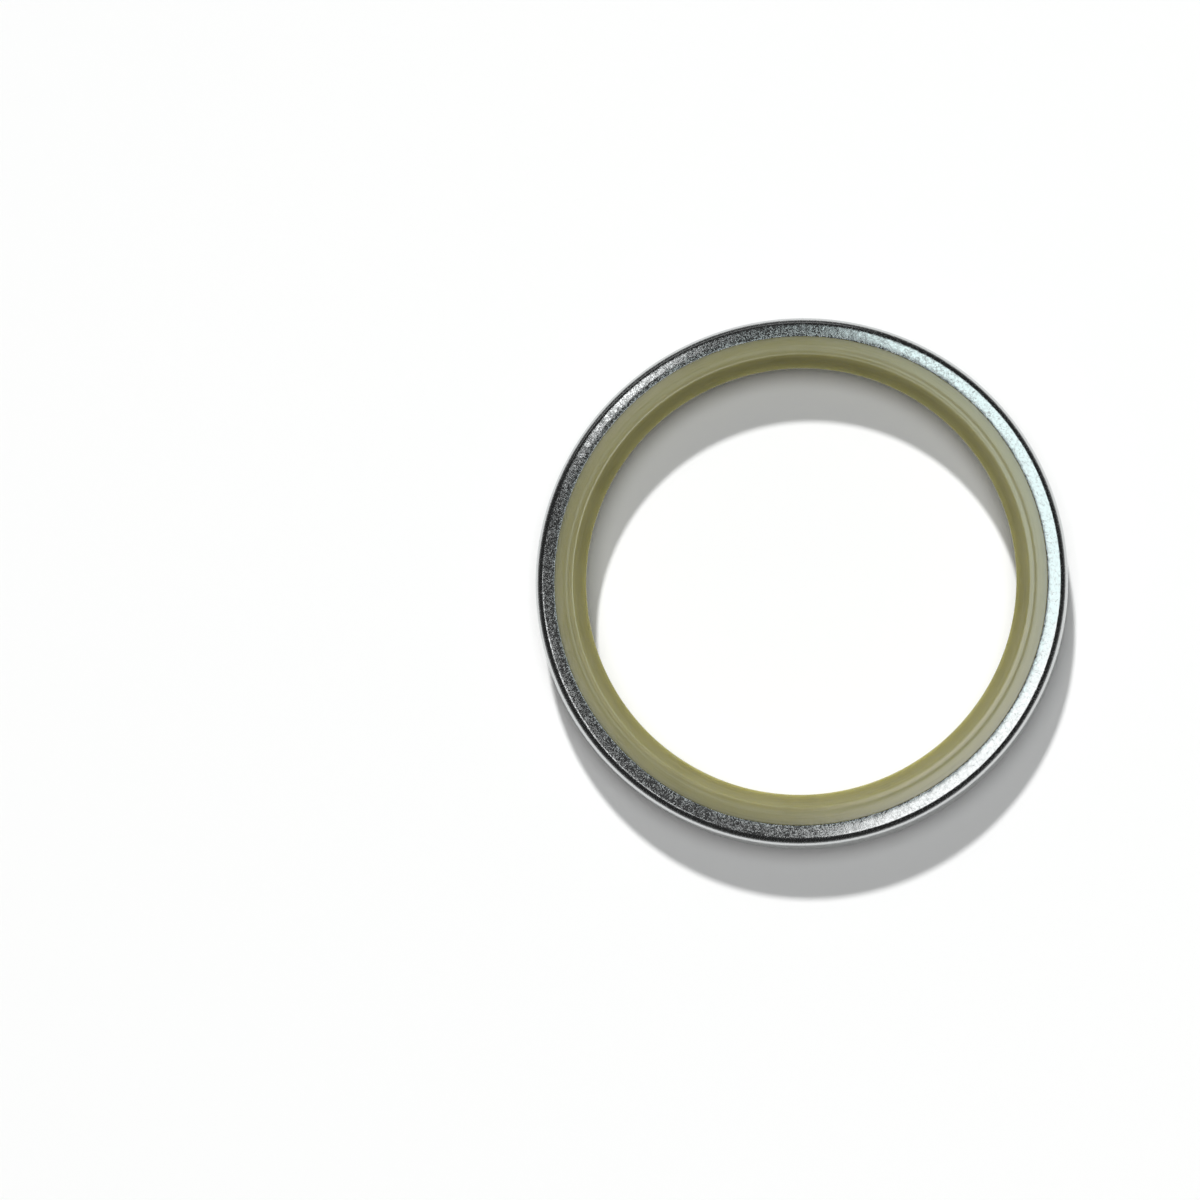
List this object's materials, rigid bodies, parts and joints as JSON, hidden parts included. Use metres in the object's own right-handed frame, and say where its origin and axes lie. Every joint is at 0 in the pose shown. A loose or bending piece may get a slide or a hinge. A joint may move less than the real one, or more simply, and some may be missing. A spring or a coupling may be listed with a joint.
{
  "type": "hydraulic wiper seal",
  "caption": "Metal-cased polyurethane rod wiper: a pressed steel ring with a turned-in flange holds a moulded ring whose lip cleans a 65 mm rod.",
  "frame": {"origin": "on the seal's axis, in the plane that the open end of the case stands on", "axes": "+Z along the axis, from the open end of the case to the flange and the wiping lip; +X and +Y are any two radii at a right angle"},
  "size_m": [0.079, 0.079, 0.0081],
  "materials": {
    "case_steel": "satin zinc plate, tumbled, with fine short scratches",
    "polyurethane": "translucent olive, smooth moulded lip and finely matt shoulder"
  },
  "bodies": {
    "root": {"steel_case": "case_steel", "wiper_element": "polyurethane"}
  },
  "joints": []
}
